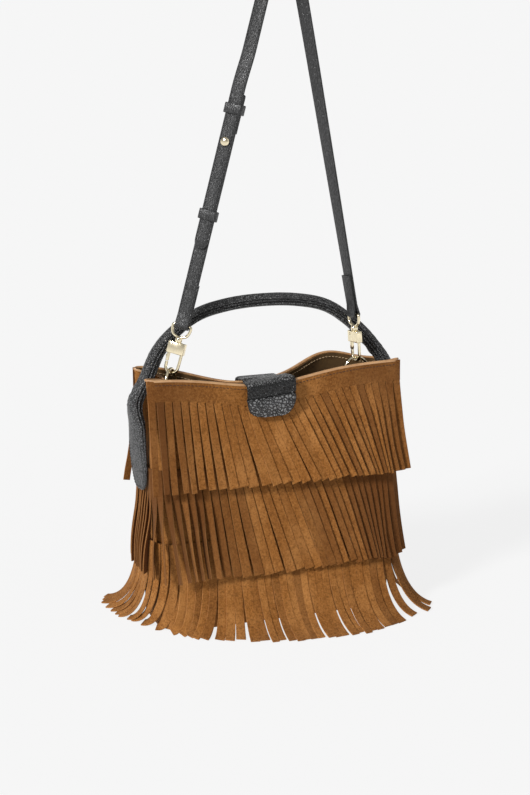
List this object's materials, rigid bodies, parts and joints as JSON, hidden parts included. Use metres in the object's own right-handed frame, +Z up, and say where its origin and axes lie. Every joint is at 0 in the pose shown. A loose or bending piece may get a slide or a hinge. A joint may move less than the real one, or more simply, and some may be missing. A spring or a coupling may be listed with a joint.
{
  "type": "fringed suede bag",
  "caption": "Bucket shoulder bag in suede with tiers of long fringe, a round leather handle, a tab closure and a clip-on strap held up by its loop.",
  "frame": {"origin": "middle of the base panel's underside, on the floor", "axes": "+X to the right along the front, -Y towards the viewer, +Z up towards the handle and the strap"},
  "size_m": [0.285, 0.167, 0.627],
  "materials": {
    "suede": "brushed tan suede",
    "black_leather": "black pebbled leather",
    "gold_metal": "polished pale gold",
    "steel": "plain steel",
    "lining": "dark brown lining",
    "edge_binding": "smooth tan leather edge"
  },
  "bodies": {
    "bag": {"front_panel": "suede", "back_panel": "suede", "left_gusset": "suede", "right_gusset": "suede", "base_panel": "suede", "upper_fringe_front": "suede", "upper_fringe_back": "suede", "middle_fringe_front": "suede", "middle_fringe_back": "suede", "middle_fringe_left": "suede", "middle_fringe_right": "suede", "lower_fringe_front": "suede", "lower_fringe_back": "suede", "lower_fringe_left": "suede", "lower_fringe_right": "suede", "lining": "lining", "rim_binding": "edge_binding", "handle": "black_leather", "closure_anchor": "black_leather", "panel_magnet": "gold_metal", "left_ring_loop": "black_leather", "right_ring_loop": "black_leather"},
    "closure": {"closure_tab": "black_leather", "tab_magnet": "gold_metal"},
    "left_ring": {"left_ring": "gold_metal"},
    "right_ring": {"right_ring": "gold_metal"},
    "shoulder_strap": {"strap_long": "black_leather", "strap_short": "black_leather", "fixed_keeper": "black_leather", "strap_stud": "gold_metal", "stud_screw": "gold_metal", "left_swivel_eye": "gold_metal", "right_swivel_eye": "gold_metal"},
    "left_hook": {"left_hook": "gold_metal", "left_gate_pin": "steel"},
    "right_hook": {"right_hook": "gold_metal", "right_gate_pin": "steel"},
    "left_gate": {"left_hook_gate": "gold_metal"},
    "right_gate": {"right_hook_gate": "gold_metal"},
    "sliding_keeper": {"sliding_keeper": "black_leather"}
  },
  "joints": [
    {"name": "closure_flap", "type": "hinge", "parent": "bag", "child": "closure", "pos_m": [-0.008, 0.00506, 0.22543], "axis": [-1, 0, 0], "range_deg": [0, 110]},
    {"name": "strap_swing", "type": "hinge", "parent": "bag", "child": "shoulder_strap", "pos_m": [0, -0.008, 0.234], "axis": [1, 0, 0], "range_deg": [0, 25]},
    {"name": "left_ring_turn", "type": "hinge", "parent": "bag", "child": "left_ring", "pos_m": [-0.094, -0.008, 0.2269], "axis": [0.788, -0.6157, 0], "continuous": true},
    {"name": "right_ring_turn", "type": "hinge", "parent": "bag", "child": "right_ring", "pos_m": [0.085, -0.008, 0.2233], "axis": [0, 1, 0], "continuous": true},
    {"name": "left_hook_swivel", "type": "hinge", "parent": "shoulder_strap", "child": "left_hook", "pos_m": [-0.094, -0.008, 0.234], "axis": [0.287, 0.0478, 0.9567], "range_deg": [-25, 25]},
    {"name": "right_hook_swivel", "type": "hinge", "parent": "shoulder_strap", "child": "right_hook", "pos_m": [0.085, -0.008, 0.2309], "axis": [-0.0598, 0.0499, 0.997], "range_deg": [-25, 25]},
    {"name": "left_gate_open", "type": "hinge", "parent": "left_hook", "child": "left_gate", "pos_m": [-0.09258, -0.00327, 0.25455], "axis": [-0.6008, -0.7689, 0.2187], "range_deg": [0, 20], "stiffness_Nm_per_rad": 0.002, "springref_deg": -11.46},
    {"name": "right_gate_open", "type": "hinge", "parent": "right_hook", "child": "right_gate", "pos_m": [0.08278, -0.00118, 0.25079], "axis": [-0.9836, -0.1734, -0.0503], "range_deg": [0, 20], "stiffness_Nm_per_rad": 0.002, "springref_deg": -11.46},
    {"name": "keeper_slide", "type": "slide", "parent": "shoulder_strap", "child": "sliding_keeper", "axis": [0.267, 0.0281, 0.9633], "range_m": [-0.018, 0.045]}
  ]
}
